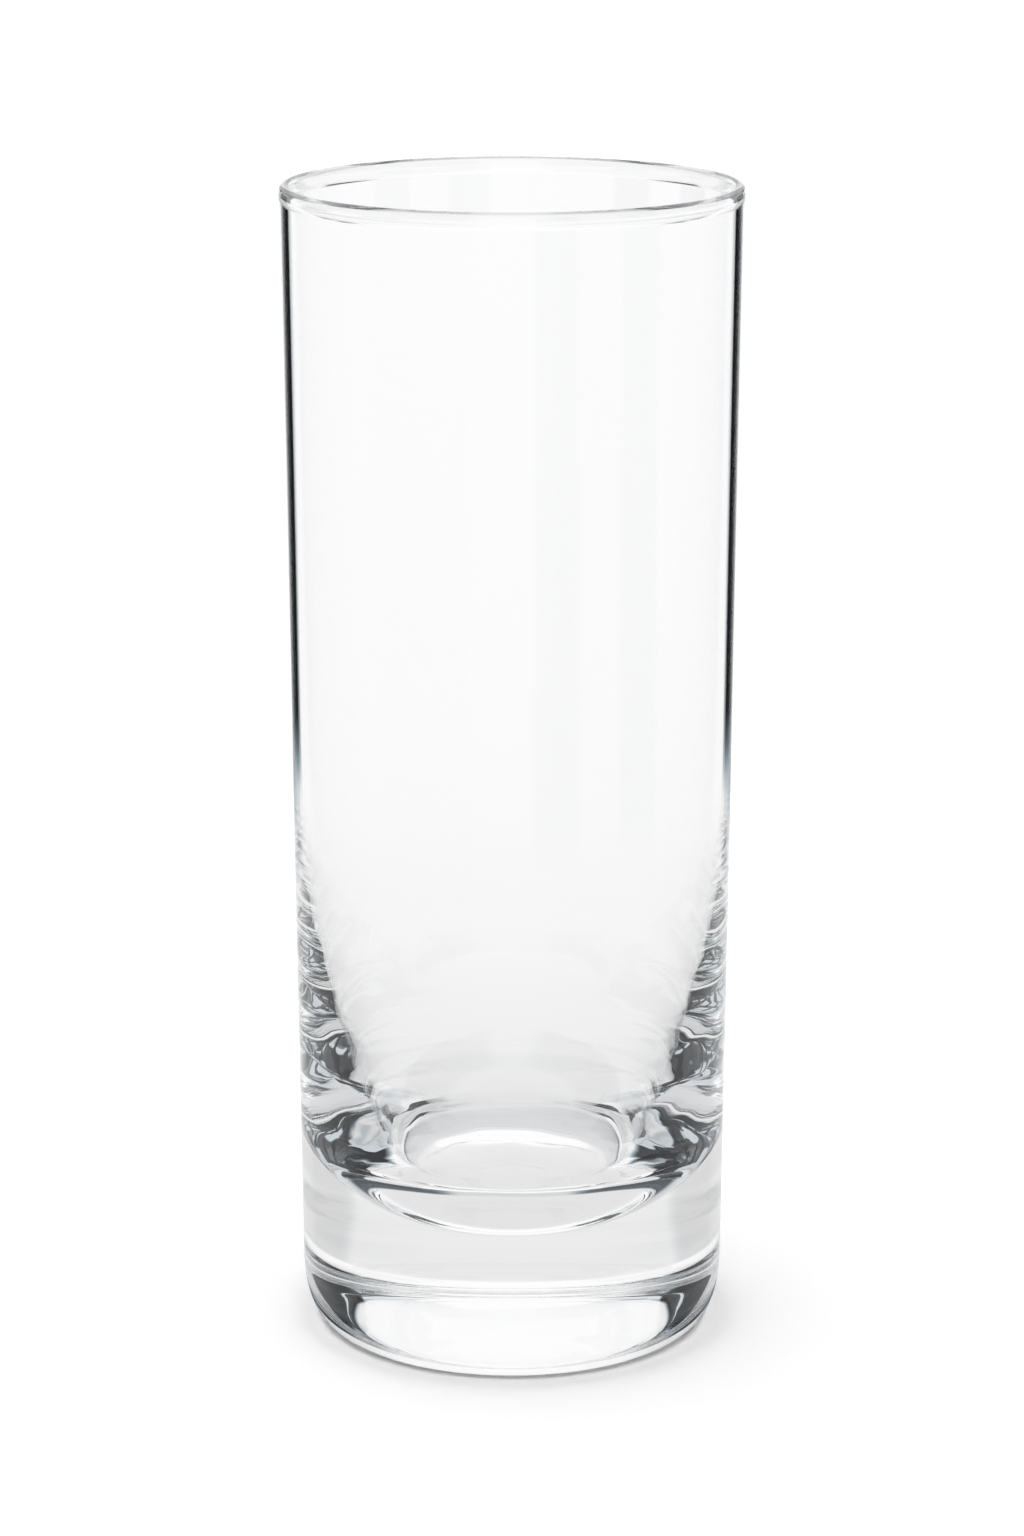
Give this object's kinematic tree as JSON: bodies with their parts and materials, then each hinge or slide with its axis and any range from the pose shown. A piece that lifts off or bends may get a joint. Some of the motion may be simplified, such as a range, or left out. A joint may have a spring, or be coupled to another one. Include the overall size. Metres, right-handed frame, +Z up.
{
  "type": "collins glass",
  "caption": "Tall, nearly straight drinking glass of clear glass, with a thick base, a rounded inner bottom and a beaded rim.",
  "frame": {"origin": "centre of the circle that the glass stands on, at the level of the table", "axes": "+Z up along the axis of the glass, towards the rim; the glass is round, so +X and +Y are any two directions at a right angle"},
  "size_m": [0.0644, 0.0644, 0.1646],
  "materials": {
    "clear_glass": "clear, fire-polished and smooth"
  },
  "bodies": {
    "root": {"tumbler": "clear_glass"}
  },
  "joints": []
}
